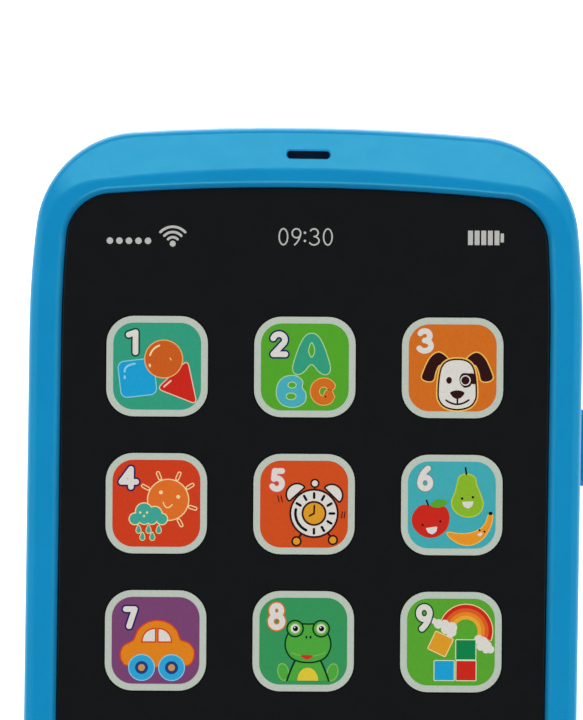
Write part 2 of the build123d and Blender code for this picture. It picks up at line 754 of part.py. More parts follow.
def contact_plate(x, at_top, tongue_x=None):
    """A nickel-plated plate against the end wall, with a solder tongue through it."""
    if at_top:
        y = (TUB_TOP_Y - CONTACT_THICK, TUB_TOP_Y)
        tongue_y = (TUB_TOP_Y - 0.2, TUB_TOP_Y + 3.4)
    else:
        y = (TUB_BOTTOM_Y, TUB_BOTTOM_Y + CONTACT_THICK)
        tongue_y = (TUB_BOTTOM_Y - 3.4, TUB_BOTTOM_Y + 0.2)
    plate = block(x, y, (2.4, 12.2))
    if tongue_x is None:
        return plate
    return plate + block((tongue_x - 1, tongue_x + 1), tongue_y, (8.8, 9.2))


HALF_PLATE = 4.4


def positive_terminal():
    x = CELL_XS[0]
    return contact_plate((x - HALF_PLATE, x + HALF_PLATE), True, x)


def negative_terminal():
    x = CELL_XS[-1]
    return contact_plate((x - HALF_PLATE, x + HALF_PLATE), False, x)


def upper_bridge():
    return contact_plate((CELL_XS[1] - HALF_PLATE, CELL_XS[2] + HALF_PLATE), True)


def lower_bridge():
    return contact_plate((CELL_XS[0] - HALF_PLATE, CELL_XS[1] + HALF_PLATE), False)


def contact_springs():
    """One coil spring at the flat end of each cell."""
    wire_r, coil_r, turns = 0.25, 2.4, 4
    springs = []
    for i, x in enumerate(CELL_XS):
        clear = wire_r + 0.1
        long = SPRING_LONG - 2 * clear
        path = Helix(pitch=long / turns, height=long, radius=coil_r)
        coil = sweep(Plane(path @ 0, z_dir=path % 0) * Circle(wire_r), path=path, is_frenet=True)
        base = cell_base_y(i) - cell_direction(i) * clear
        springs.append(Pos(x, base, CELL_Z) * Rot(90 * cell_direction(i), 0, 0) * coil)
    return springs


# ---- Wires -------------------------------------------------------------------------------
def wire_run(points, label):
    """A round wire along straight runs, with arcs as large as the shorter run allows."""
    corners = [Vector(*p) for p in points]
    arcs = []
    for a, b, c in zip(corners, corners[1:], corners[2:]):
        turn = radians((b - a).get_angle(c - b))
        arcs.append(0.45 * min((b - a).length, (c - b).length) / tan(turn / 2))
    path = FilletPolyline(*points, radius=arcs)
    print(label, "length", round(path.length, 1), "radii", [round(r, 1) for r in arcs])
    return sweep(Plane(path @ 0, z_dir=path % 0) * Circle(WIRE_R), path=path)


TONGUE_Z = 9.0
WIRE_ROUTES = {
    "battery_wire_red": [
        (CELL_XS[0], TUB_TOP_Y + 3.4, TONGUE_Z), (CELL_XS[0], 3.4, TONGUE_Z), (-14.0, 5.6, 9.9),
        (-17.4, 7.4, 10.6), (-20.2, 8.6, 11.2), (-21.6, 9.2, 12.6), (-21.6, 9.2, BOARD_BOTTOM),
    ],
    "battery_wire_black": [
        (CELL_XS[-1], TUB_BOTTOM_Y - 3.4, TONGUE_Z), (CELL_XS[-1], -61.4, TONGUE_Z), (14.6, -64.4, 8.6),
        (19.2, -64.0, 8.4), (21.6, -59.6, 8.6), (21.0, -51.6, 9.0), (20.4, -38.0, 9.4), (21.0, -22.0, 9.0),
        (20.6, -10.0, 8.8), (21.2, -4.0, 9.4), (21.6, -1.0, 11.4), (21.6, -1.0, BOARD_BOTTOM),
    ],
    "switch_wire_red": [
        (13.0, 10.0, 8.5), (16.0, 10.0, 8.5), (18.4, 8.6, 9.6), (19.4, 7.6, 11.6), (19.4, 7.6, BOARD_BOTTOM),
    ],
    "switch_wire_blue": [
        (13.0, 13.0, 8.5), (15.6, 13.0, 8.5), (17.6, 14.2, 9.8), (18.2, 15.2, 11.8),
        (18.2, 15.2, BOARD_BOTTOM),
    ],
    "speaker_wire_red": [
        (TERMINAL_END_X, 38.4, 7.7), (15.4, 38.4, 7.7), (17.6, 36.4, 8.8), (18.4, 34.0, 10.8),
        (18.4, 33.0, 12.4), (18.4, 33.0, BOARD_BOTTOM),
    ],
    "speaker_wire_black": [
        (TERMINAL_END_X, 41.6, 7.7), (15.6, 41.6, 7.7), (18.0, 42.8, 8.8), (19.6, 44.4, 10.6),
        (20.0, 45.2, 12.4), (20.0, 45.2, BOARD_BOTTOM),
    ],
}

# ---- Writing the parts ---------------------------------------------------------------------
NODES = {
    "front_case": front_case,
    "rear_case": rear_case,
    "screen_lens": screen_lens,
    "lens_tape": lens_tape,
    "light_guide": light_guide,
    "touch_board": touch_board,
    "key_leds": key_leds,
    "chip_blob": chip_blob,
    "smd_parts": smd_parts,
    "capacitor": capacitor,
    "earpiece_mesh": earpiece_mesh,
    "side_button": side_button,
    "side_switch_body": side_switch_body,
    "side_switch_plunger": side_switch_plunger,
    "home_button": home_button,
    "home_dome": home_dome,
    "power_switch_body": power_switch_body,
    "power_switch_knob": power_switch_knob,
    "switch_board": switch_board,
    "switch_screws": switch_screws,
    "battery_lid": battery_lid,
    "lid_screw_lower": lid_screw_lower,
    "lid_screw_upper": lid_screw_upper,
    "batteries": batteries,
    "positive_terminal": positive_terminal,
    "negative_terminal": negative_terminal,
    "upper_bridge": upper_bridge,
    "lower_bridge": lower_bridge,
    "contact_springs": contact_springs,
    "speaker_basket": speaker_basket,
    "speaker_cone": speaker_cone,
    "speaker_magnet": speaker_magnet,
    "speaker_gasket": speaker_gasket,
    "speaker_terminals": speaker_terminals,
    "speaker_washers": speaker_washers,
    "speaker_screws": speaker_screws,
    "board_screws": board_screws,
    "case_screws": case_screws,
}


def write(name, made):
    """One STEP file for a node: a single solid, or a group of separate ones."""
    shapes = made if isinstance(made, list) else [made]
    solids = [solid for shape in shapes for solid in shape.solids()]
    whole = Compound(children=solids) if len(solids) > 1 else solids[0]
    whole.label = name
    export_step(whole, f"parts/{name}.step")


def main():
    os.makedirs("parts", exist_ok=True)
    for name, make in NODES.items():
        write(name, make())
    for name, points in WIRE_ROUTES.items():
        write(name, wire_run(points, name))


main()
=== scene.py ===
from math import atan2, cos, degrees, radians, sin

import bmesh
import bpy
from mathutils import Matrix, Vector


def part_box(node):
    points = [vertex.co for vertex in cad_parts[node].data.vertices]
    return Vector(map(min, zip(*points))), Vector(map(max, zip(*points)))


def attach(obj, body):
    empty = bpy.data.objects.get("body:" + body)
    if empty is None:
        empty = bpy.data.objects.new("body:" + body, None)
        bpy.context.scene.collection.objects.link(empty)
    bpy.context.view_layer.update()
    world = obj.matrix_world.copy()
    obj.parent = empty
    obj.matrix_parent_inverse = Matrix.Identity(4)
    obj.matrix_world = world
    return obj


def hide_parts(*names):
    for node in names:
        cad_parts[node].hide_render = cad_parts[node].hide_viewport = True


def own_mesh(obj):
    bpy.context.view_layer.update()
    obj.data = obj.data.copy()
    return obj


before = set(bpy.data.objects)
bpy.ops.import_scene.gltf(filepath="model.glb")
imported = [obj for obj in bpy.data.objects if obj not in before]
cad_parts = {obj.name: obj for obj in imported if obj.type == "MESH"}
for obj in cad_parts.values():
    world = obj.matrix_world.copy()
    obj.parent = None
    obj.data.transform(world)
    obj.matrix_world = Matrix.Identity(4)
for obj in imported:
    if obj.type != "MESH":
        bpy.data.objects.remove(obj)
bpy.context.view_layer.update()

# A toy cell phone that lies on its back: its printed artwork, its materials, the floor,
# the light and the camera. Artwork is drawn in millimetres, everything else in metres.

MM = 0.001

CASE_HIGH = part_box("front_case")[1]
TOP_EDGE_Y = CASE_HIGH.y / MM                     # the earpiece end, in mm
LENS_TOP_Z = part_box("screen_lens")[1].z / MM      # the screen's face, in mm


def place_in_scene(name, data):
    """A new object with this mesh, light or camera."""
    made = bpy.data.objects.new(name, data)
    bpy.context.scene.collection.objects.link(made)
    return made


# ---- Colours ---------------------------------------------------------------------------
def linear(r, g, b):
    """Scene-linear colour of an 8-bit display colour."""
    parts = [v / 255 for v in (r, g, b)]
    return [v / 12.92 if v <= 0.04045 else ((v + 0.055) / 1.055) ** 2.4 for v in parts] + [1.0]


INKS = {                     # 8-bit display colours
    "border": (190, 200, 188), "white": (222, 219, 212), "black": (8, 8, 9), "status": (190, 190, 186),
    "teal": (52, 158, 126), "green": (84, 166, 44), "orange": (211, 110, 32), "red": (208, 62, 30),
    "vermilion": (210, 79, 31), "cyan": (66, 172, 180), "purple": (122, 67, 114), "leaf": (54, 150, 90),
    "grass": (88, 166, 48), "yellow": (228, 176, 45), "sky": (40, 140, 208), "pink": (222, 96, 132),
    "deep_green": (14, 72, 44), "navy": (34, 30, 92), "rose": (224, 92, 96), "grey": (120, 140, 142),
    "ball": (204, 94, 32), "peach": (238, 178, 104), "cream": (244, 216, 156), "blue": (28, 160, 212),
    "ice": (140, 208, 232), "scarlet": (204, 40, 28), "blush": (240, 196, 170), "lime": (172, 216, 150),
    "aqua": (74, 174, 190), "umber": (48, 18, 20), "gold": (244, 192, 92), "sun": (226, 112, 40),
    "cloud": (64, 166, 150), "amber": (224, 156, 40), "pear": (138, 184, 44), "pear_edge": (186, 204, 58),
    "banana": (234, 150, 40), "banana_edge": (242, 196, 84), "car": (226, 132, 28), "rust": (212, 68, 30),
    "wheel": (46, 164, 216), "frog": (78, 168, 62), "frog_light": (122, 188, 82), "frog_dark": (12, 54, 28),
    "belly": (224, 200, 58), "lip": (206, 50, 34), "pale": (214, 228, 188), "block_green": (14, 130, 74),
    "band_2": (222, 92, 34), "band_3": (230, 134, 38), "band_4": (236, 168, 50), "hub": (206, 148, 88),
    "rim_navy": (34, 62, 120),
}


# ---- Materials -------------------------------------------------------------------------
def add_node(tree, kind, **values):
    node = tree.nodes.new(kind)
    for key, value in values.items():
        if key in node.inputs:
            node.inputs[key].default_value = value
        else:
            setattr(node, key, value)
    return node


def noise(tree, grain_mm, detail=3.0, stretch=(1, 1, 1)):
    """A noise over the surface, in the phone's own space, whose spots are grain_mm across."""
    place = add_node(tree, "ShaderNodeTexCoord")
    scale = add_node(tree, "ShaderNodeMapping")
    scale.inputs["Scale"].default_value = stretch
    tree.links.new(place.outputs["Object"], scale.inputs["Vector"])
    made = add_node(tree, "ShaderNodeTexNoise", Scale=1 / (grain_mm * MM), Detail=detail, Roughness=0.55)
    tree.links.new(scale.outputs["Vector"], made.inputs["Vector"])
    return made.outputs["Fac"]


def ranged(tree, value, low, high, start=0.3, end=0.7):
    """Maps a noise's usual span to low..high."""
    made = add_node(tree, "ShaderNodeMapRange")
    for name, number in (("From Min", start), ("From Max", end), ("To Min", low), ("To Max", high)):
        made.inputs[name].default_value = number
    tree.links.new(value, made.inputs["Value"])
    return made.outputs["Result"]


def shade(colour, factor):
    return [min(1.0, c * factor) for c in colour[:3]] + [1.0]


COAT_ROUGH = 0.04
GLOW_DEPTH = 0.4, 0.8, 1.2    # how far red, green and blue light spread inside, in mm


def surface(
    name, colour, rough=(0.3, 0.4), mottle=0.06, mottle_mm=6.0, peel_mm=1.2, peel=0.004,
    stretch=(1, 1, 1), metallic=0.0, coat=0.0, subsurface=0.0, gloss=0.5, tint=(1, 1, 1),
):
    """One material: a slightly mottled colour, uneven roughness and a fine moulded or drawn grain.

    mottle is the colour's swing and peel the grain's height in mm; mottle_mm and peel_mm are how far
    across their spots are, and tint colours the reflection of what is seen head-on.
    """
    made = bpy.data.materials.new(name)
    made.use_nodes = True
    tree = made.node_tree
    shader = tree.nodes["Principled BSDF"]
    shader.inputs["Metallic"].default_value = metallic
    shader.inputs["Specular IOR Level"].default_value = gloss
    shader.inputs["Specular Tint"].default_value = (*tint, 1)
    shader.inputs["Coat Weight"].default_value = coat
    shader.inputs["Coat Roughness"].default_value = COAT_ROUGH
    shader.inputs["Subsurface Weight"].default_value = subsurface
    shader.inputs["Subsurface Radius"].default_value = [mm * MM for mm in GLOW_DEPTH]
    blend = add_node(tree, "ShaderNodeMix", data_type="RGBA")
    colour_a, colour_b = [s for s in blend.inputs if s.type == "RGBA"]
    colour_a.default_value = shade(colour, 1 - mottle)
    colour_b.default_value = shade(colour, 1 + mottle)
    tree.links.new(ranged(tree, noise(tree, mottle_mm), 0, 1), blend.inputs["Factor"])
    result = [s for s in blend.outputs if s.type == "RGBA"][0]
    tree.links.new(result, shader.inputs["Base Color"])
    grain = noise(tree, peel_mm, 2.0, stretch)
    tree.links.new(ranged(tree, grain, *rough), shader.inputs["Roughness"])
    bump = add_node(tree, "ShaderNodeBump", Strength=1.0, Distance=peel * MM)
    tree.links.new(grain, bump.inputs["Height"])
    tree.links.new(bump.outputs["Normal"], shader.inputs["Normal"])
    return made


INK_MATERIALS = {}


def ink(name):
    """Printing ink under the screen's gloss: a little dot grain in the colour."""
    if name not in INK_MATERIALS:
        INK_MATERIALS[name] = surface(
            "ink_" + name, linear(*INKS[name]), rough=(0.06, 0.1), mottle=0.05, mottle_mm=0.25,
            peel_mm=3.0, peel=0.0004, gloss=0.35,
        )
    return INK_MATERIALS[name]


# ---- Outlines in millimetres -------------------------------------------------------------
def arc(x, y, rx, ry, start, end, steps=20):
    """Points of an ellipse's arc between two angles in degrees."""
    turns = [radians(start + (end - start) * i / steps) for i in range(steps + 1)]
    return [(x + rx * cos(a), y + ry * sin(a)) for a in turns]


def disc(x, y, rx, ry=None, lean=0.0, steps=36):
    ry = rx if ry is None else ry
    ring = arc(0, 0, rx, ry, 0, 360, steps)[:-1]
    return moved(ring, x, y, lean)


def moved(points, x, y, lean=0.0):
    c, s = cos(radians(lean)), sin(radians(lean))
    return [(x + c * px - s * py, y + s * px + c * py) for px, py in points]


def mirrored(points, about):
    return [(2 * about - x, y) for x, y in reversed(points)]


def smooth(points, steps=6):
    """A closed curve through the points."""
    made = []
    n = len(points)
    for i in range(n):
        p0, p1, p2, p3 = (points[(i + k) % n] for k in (-1, 0, 1, 2))
        for j in range(steps):
            t = j / steps
            made.append(tuple(
                0.5 * (
                    2 * b + (c - a) * t
                    + (2 * a - 5 * b + 4 * c - d) * t**2
                    + (3 * b - a - 3 * c + d) * t**3
                )
                for a, b, c, d in zip(p0, p1, p2, p3)
            ))
    return made


def bend(start, through, end, steps=12):
    """A gentle open curve that leaves start, heads for through and comes to end."""
    made = []
    for i in range(steps + 1):
        t = i / steps
        made.append(tuple(
            (1 - t) ** 2 * a + 2 * t * (1 - t) * b + t * t * c for a, b, c in zip(start, through, end)
        ))
    return made


def rounded(corners, radius, steps=6):
    """A polygon with each corner rounded off by a curve that starts radius before it."""
    made = []
    n = len(corners)
    for i in range(n):
        before, at, after = Vector(corners[i - 1]), Vector(corners[i]), Vector(corners[(i + 1) % n])
        start = at + (before - at).normalized() * radius
        end = at + (after - at).normalized() * radius
        made += bend(start, at, end, steps)
    return made


def round_rect(width, height, radius, steps=10):
    made = []
    for turn, (sx, sy) in enumerate(((1, 1), (-1, 1), (-1, -1), (1, -1))):
        x, y = sx * (width / 2 - radius), sy * (height / 2 - radius)
        made += arc(x, y, radius, radius, 90 * turn, 90 * turn + 90, steps)
    return made


def signed_area(points):
    return sum(x0 * y1 - x1 * y0 for (x0, y0), (x1, y1) in zip(points, points[1:] + points[:1])) / 2


LEAST_DOT = 0.6              # keeps a grown outline's sharp corners from shooting out


def grown(points, by):
    """The outline moved outwards by a distance."""
    side = 1 if signed_area(points) > 0 else -1
    made = []
    n = len(points)
    for i in range(n):
        along = [Vector(points[(i + k + 1) % n]) - Vector(points[(i + k) % n]) for k in (-1, 0)]
        normals = [Vector((d.y, -d.x)).normalized() * side for d in along if d.length > 1e-6]
        normal = sum(normals, Vector((0, 0))).normalized()
        reach = by / max(LEAST_DOT, normal.dot(normals[0]))
        made.append((points[i][0] + normal.x * reach, points[i][1] + normal.y * reach))
    return made


CAP_STEPS = 8                # points round a stroke's end


def ribbon(path, width, round_ends=True):
    """The outline of a stroke along an open path."""
    half = width / 2
    left, right = [], []
    for i, p in enumerate(path):
        before, after = path[max(i - 1, 0)], path[min(i + 1, len(path) - 1)]
        angle = atan2(after[1] - before[1], after[0] - before[0])
        nx, ny = -sin(angle) * half, cos(angle) * half
        left.append((p[0] + nx, p[1] + ny))
        right.append((p[0] - nx, p[1] - ny))
    if not round_ends:
        return left + right[::-1]
    caps = []
    for p, q in ((path[-1], path[-2]), (path[0], path[1])):
        out = degrees(atan2(p[1] - q[1], p[0] - q[0]))
        caps.append(arc(p[0], p[1], half, half, out + 90, out - 90, CAP_STEPS)[1:-1])
    return left + caps[0] + right[::-1] + caps[1]


# ---- Printed artwork -----------------------------------------------------------------------
LAYER = 0.001                # each shape stands this much above the last, so the later one shows
SUNK = 0.02                  # how deep the shapes reach into the screen
PRINT_TURN = radians(0.5)    # the printing sits a little askew in its frame
PRINT_PIVOT = 40.7           # turned about this place along the phone
PRINT_SHIFT = -0.07          # and moved sideways


class Artwork:
    """Flat closed shapes, each a hair above the last, in one object on the screen."""

    def __init__(self, name, x, y):
        self.name, self.x, self.y = name, x, y
        self.mesh = bmesh.new()
        self.inks = []
        self.layers = 0

    def point(self, p, z):
        x, y = self.x + p[0] + PRINT_SHIFT, self.y + p[1]
        c, s = cos(PRINT_TURN), sin(PRINT_TURN)
        return self.mesh.verts.new(((c * x - s * y + s * PRINT_PIVOT) * MM,
                                    (s * x + c * y + (1 - c) * PRINT_PIVOT) * MM, z * MM))

    def next_layer(self, ink_name):
        self.layers += 1
        if ink_name not in self.inks:
            self.inks.append(ink_name)
        return LENS_TOP_Z + LAYER * self.layers, self.inks.index(ink_name)

    def shape(self, points, ink_name):
        """One closed outline, filled."""
        if signed_area(points) < 0:
            points = points[::-1]
        high, slot = self.next_layer(ink_name)
        top = [self.point(p, high) for p in points]
        low = [self.point(p, LENS_TOP_Z - SUNK) for p in points]
        faces = [self.mesh.faces.new(top), self.mesh.faces.new(low[::-1])]
        for i in range(len(points)):
            j = (i + 1) % len(points)
            faces.append(self.mesh.faces.new((low[i], low[j], top[j], top[i])))
        for face in faces:
            face.material_index = slot

    def ring(self, x, y, rx, ry, width, ink_name, steps=36):
        """A closed band round an ellipse."""
        high, slot = self.next_layer(ink_name)
        loops = []
        for reach, z in ((0.5, high), (-0.5, high), (-0.5, LENS_TOP_Z - SUNK), (0.5, LENS_TOP_Z - SUNK)):
            outline = disc(x, y, rx + reach * width, ry + reach * width, 0, steps)
            loops.append([self.point(p, z) for p in outline])
        for outer, inner in zip(loops, loops[1:] + loops[:1]):
            for i in range(steps):
                j = (i + 1) % steps
                face = self.mesh.faces.new((outer[i], outer[j], inner[j], inner[i]))
                face.material_index = slot

    def outlined(self, points, fill, line, width):
        self.shape(grown(points, width), line)
        self.shape(points, fill)

    def curve(self, path, width, ink_name, round_ends=True):
        self.shape(ribbon(path, width, round_ends), ink_name)

    def line(self, corners, width, ink_name):
        for start, end in zip(corners, corners[1:]):
            self.shape(ribbon([start, end], width), ink_name)

    def dots(self, places, radius, ink_name):
        for x, y in places:
            self.shape(disc(x, y, radius), ink_name)

    def discs(self, circles, fill, line, width):
        """A cluster of overlapping discs with one outline round them all."""
        for x, y, r in circles:
            self.shape(disc(x, y, r + width), line)
        for x, y, r in circles:
            self.shape(disc(x, y, r), fill)

    def finish(self):
        data = bpy.data.meshes.new(self.name)
        bmesh.ops.recalc_face_normals(self.mesh, faces=self.mesh.faces)
        self.mesh.to_mesh(data)
        self.mesh.free()
        piece = place_in_scene(self.name, data)
        for name in self.inks:
            data.materials.append(ink(name))
        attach(piece, "casing")


# ---- Digits ----------------------------------------------------------------------------
# Each digit is drawn in a box one wide and one high: straight runs, curves and rings.
DIGITS = {
    "0": [("ring", (0.5, 0.5, 0.46, 0.5))],
    "1": [("line", [(0.12, 0.88), (0.6, 1.0), (0.6, 0.0)])],
    "2": [
        ("curve", arc(0.5, 0.72, 0.46, 0.28, 165, -28)),
        ("line", [(0.9, 0.58), (0.06, 0.0), (1.0, 0.0)]),
    ],
    "3": [
        ("curve", arc(0.42, 0.76, 0.44, 0.24, 150, -90)),
        ("curve", arc(0.42, 0.26, 0.54, 0.26, 90, -150)),
    ],
    "4": [("line", [(0.64, 1.0), (0.0, 0.28), (1.0, 0.28)]), ("line", [(0.64, 1.0), (0.64, 0.0)])],
    "5": [
        ("line", [(0.92, 1.0), (0.22, 1.0), (0.14, 0.56)]),
        ("curve", arc(0.42, 0.3, 0.5, 0.3, 122, -150)),
    ],
    "6": [("ring", (0.5, 0.28, 0.46, 0.28)), ("curve", bend((0.74, 1.0), (0.12, 0.74), (0.04, 0.28)))],
    "7": [("line", [(0.0, 1.0), (0.96, 1.0), (0.36, 0.0)])],
    "8": [("ring", (0.5, 0.77, 0.36, 0.23)), ("ring", (0.5, 0.27, 0.46, 0.27))],
    "9": [("ring", (0.5, 0.72, 0.46, 0.28)), ("curve", bend((0.3, 0.0), (0.86, 0.26), (0.96, 0.72)))],
}


def draw_digit(art, digit, x, y, width, height, stroke, ink_name):
    """A digit whose strokes' middle lines fill the box from (x, y)."""
    for kind, form in DIGITS[digit]:
        if kind == "ring":
            cx, cy, rx, ry = form
            art.ring(x + cx * width, y + cy * height, rx * width, ry * height, stroke, ink_name)
            continue
        path = [(x + px * width, y + py * height) for px, py in form]
        draw = art.line if kind == "line" else art.curve
        draw(path, stroke, ink_name)


DIGIT_STROKE = 0.76
DIGIT_EDGE = 0.22
DIGIT_BOXES = {              # x, y, width and height of the strokes' middle lines
    "0": (-4.4, 2.0, 1.6, 2.7), "1": (-4.07, 1.86, 1.92, 2.68), "2": (-4.36, 1.7, 1.73, 2.7),
    "3": (-4.43, 2.27, 1.57, 2.67), "4": (-4.7, 2.2, 1.98, 2.4), "5": (-4.27, 2.03, 1.4, 2.41),
    "6": (-4.35, 2.2, 1.52, 2.7), "7": (-4.02, 1.89, 1.25, 2.3), "8": (-4.44, 1.85, 1.7, 2.93),
    "9": (-4.4, 1.78, 1.6, 2.92),
}


def key_digit(art, digit, edge=None, edge_width=DIGIT_EDGE):
    """A key's white number in its upper left corner, with or without a coloured edge."""
    box = DIGIT_BOXES[digit]
    if edge:
        draw_digit(art, digit, *box, DIGIT_STROKE + 2 * edge_width, edge)
    draw_digit(art, digit, *box, DIGIT_STROKE, "white")


# ---- The picture keys -----------------------------------------------------------------------
# Each is drawn in millimetres about the middle of its key.
def shapes_key(art):
    square = moved(round_rect(4.7, 4.75, 0.8), -2.65, -1.6, 7)
    art.outlined(square, "blue", "ice", 0.13)
    art.curve(bend((-4.35, -0.75), (-4.4, 0.1), (-3.0, 0.32)), 0.26, "ice")
    art.shape(disc(-4.35, -1.5, 0.15, 0.28), "ice")
    triangle = rounded([(4.05, 0.75), (0.1, -3.0), (5.3, -5.0)], 0.75)
    art.outlined(triangle, "scarlet", "blush", 0.14)
    art.line([(0.95, -2.75), (1.85, -1.95)], 0.24, "blush")
    art.outlined(disc(0.88, 0.97, 2.48), "ball", "peach", 0.14)
    art.curve(arc(0.88, 0.97, 1.9, 1.9, 108, 165), 0.24, "cream")
    art.shape(disc(-0.98, 0.1, 0.15, 0.26, 15), "cream")
    art.line([(1.72, 1.1), (1.9, 0.85)], 0.1, "cream")
    key_digit(art, "1", "deep_green")


def letters_key(art):
    half = [(0.9, 4.5), (1.75, 4.1), (2.45, 2.9), (3.0, 1.4), (3.38, 0.0), (3.2, -0.75), (2.6, -0.95)]
    foot = [(1.9, -0.55), (1.35, 0.1)]
    right = half + foot
    letter_a = smooth(right + [(0.9, 0.42)] + mirrored(right[1:], 0.9))
    art.outlined(letter_a, "teal", "lime", 0.13)
    art.outlined(smooth([(0.9, 3.2), (1.25, 2.2), (0.9, 1.4), (0.55, 2.2)]), "green", "lime", 0.13)
    letter_b = smooth([
        (-2.6, -1.35), (-1.2, -1.25), (-0.35, -1.9), (-0.4, -2.8), (0.08, -3.5), (0.0, -4.6),
        (-0.9, -5.25), (-2.1, -5.35), (-3.2, -4.85), (-3.75, -3.7), (-3.5, -2.2),
    ])
    art.outlined(letter_b, "aqua", "lime", 0.13)
    art.outlined(disc(-1.7, -2.43, 0.48, 0.34), "green", "lime", 0.13)
    art.outlined(disc(-1.82, -3.95, 0.6, 0.38), "green", "lime", 0.13)
    letter_c = arc(2.55, -3.28, 1.2, 1.22, 38, 318, 28) + [(3.2, -3.62)]
    art.curve(letter_c, 1.36, "peach")
    art.curve(letter_c, 1.12, "orange")
    key_digit(art, "2", "navy")


def dog_key(art):
    middle = 0.64
    side = [(1.84, 0.85), (2.6, 0.15), (2.95, -1.2), (3.1, -3.2), (2.95, -4.3), (2.2, -5.15)]
    face = smooth([(middle, 1.05)] + side + [(middle, -5.5)] + mirrored(side, middle))
    ear = smooth([
        (-0.6, 1.1), (-1.4, 1.9), (-2.2, 2.0), (-3.1, 1.2), (-3.9, -0.5), (-4.1, -1.4), (-3.4, -1.8),
        (-2.6, -1.65), (-2.3, -0.6), (-1.9, 0.3), (-1.2, 0.6),
    ])
    for outline in (ear, mirrored(ear, middle)):
        art.outlined(outline, "umber", "gold", 0.16)
    art.shape(grown(face, 0.4), "gold")
    art.shape(grown(face, 0.22), "umber")
    art.shape(face, "white")
    art.shape(smooth([
        (2.95, -0.85), (2.2, -0.72), (1.35, -0.72), (0.95, -1.3), (1.05, -2.1), (1.6, -2.65), (2.3, -2.5),
        (2.6, -2.15), (3.05, -2.1),
    ]), "umber")
    art.shape(disc(1.74, -1.67, 0.7), "white")
    art.shape(disc(1.74, -1.67, 0.55), "umber")
    art.shape(disc(-0.47, -1.67, 0.38, 0.46), "umber")
    nose = [(-0.3, -3.3), (0.65, -3.0), (1.6, -3.3), (1.2, -3.95), (0.65, -4.15), (0.1, -3.95)]
    art.shape(smooth(nose), "umber")
    art.line([(0.67, -4.1), (0.67, -4.8)], 0.24, "umber")
    art.curve(bend((-0.85, -4.35), (0.67, -5.45), (2.2, -4.3)), 0.24, "umber")
    key_digit(art, "3")


def weather_key(art):
    x, y = 1.58, 0.47
    for angle in (111, 67, 32, -17.5, -62, 151):
        ray = [(x + r * cos(radians(angle)), y + r * sin(radians(angle))) for r in (3.1, 3.85)]
        art.line(ray, 0.56, "cream")
        art.line(ray, 0.27, "red")
    art.outlined(disc(x, y, 2.7), "sun", "cream", 0.15)
    art.dots([(0.6, 1.48), (2.94, 0.89)], 0.26, "cream")
    art.curve(bend((0.92, 0.15), (1.3, -1.15), (2.15, -0.15)), 0.15, "cream")
    lobes = [
        (-2.85, -2.1, 0.72), (-1.65, -1.1, 1.08), (-0.2, -1.4, 0.92), (0.75, -2.1, 0.7),
        (-1.6, -2.0, 0.78), (-0.6, -2.05, 0.72),
    ]
    art.discs(lobes, "cloud", "cream", 0.15)
    art.dots([(-2.15, -1.25), (-1.25, -1.25), (-1.65, -1.72)], 0.16, "cream")
    drop = smooth([(0, 0.62), (0.3, 0.02), (0.22, -0.3), (0, -0.4), (-0.22, -0.3), (-0.3, 0.02)])
    for drop_x, drop_y in ((-2.37, -3.6), (-1.03, -3.6), (0.34, -3.6), (-1.85, -4.55), (-0.52, -4.55)):
        art.outlined(moved(drop, drop_x, drop_y), "cloud", "cream", 0.1)
    key_digit(art, "4", "navy")


def clock_key(art):
    """An alarm clock with hour marks on one side of its dial and a swoosh on the other."""
    x, y = 1.35, -1.23
    for angle in (132, 46):
        bell_x, bell_y = x + 3.55 * cos(radians(angle)), y + 3.55 * sin(radians(angle))
        art.line([(x, y), (bell_x, bell_y)], 0.28, "umber")
        bell = rounded(arc(0, 0, 1.3, 1.2, 0, 180, 16), 0.05, 1)
        art.outlined(moved(bell, bell_x, bell_y, angle - 90), "white", "umber", 0.24)
    for foot_x, foot_y in ((-0.99, -5.0), (3.9, -4.8)):
        art.line([(x, y), (foot_x, foot_y)], 0.28, "umber")
        art.outlined(disc(foot_x, foot_y, 0.46), "amber", "umber", 0.24)
    art.line([(x, y), (1.44, 2.8)], 0.28, "umber")
    art.outlined(disc(1.44, 2.81, 0.4), "white", "umber", 0.22)
    art.outlined(disc(x, y, 3.06), "white", "umber", 0.26)
    for hour in range(-3, 6):
        angle = radians(30 * hour)
        tick = [(x + r * cos(angle), y + r * sin(angle)) for r in (2.1, 2.7)]
        art.line(tick, 0.34, "black")
    art.curve(arc(x, y, 2.5, 2.5, 168, 245, 16), 0.36, "black")
    art.outlined(disc(x, y, 1.42), "amber", "umber", 0.26)
    art.line([(x + 0.03, y + 1.05), (x, y), (x - 0.62, y - 0.34)], 0.24, "umber")
    for mark_x, mark_y, lean in ((-3.45, 0.7, 12), (-3.02, 0.7, 12), (5.1, -1.4, -8), (5.45, -1.4, -8)):
        mark = moved([(0, -0.42), (0, 0.42)], mark_x, mark_y, lean)
        art.line(mark, 0.12, "umber")
    key_digit(art, "5", "rose", 0.12)


def grin(art, x, y, width, lean=0.0):
    """A smiling open mouth."""
    mouth = rounded([(-0.5, 0.0), (0.5, 0.0), (0.36, -0.42), (0.0, -0.62), (-0.36, -0.42)], 0.12)
    mouth = [(px * width, py * width) for px, py in mouth]
    art.shape(moved(mouth, x, y, lean), "white")


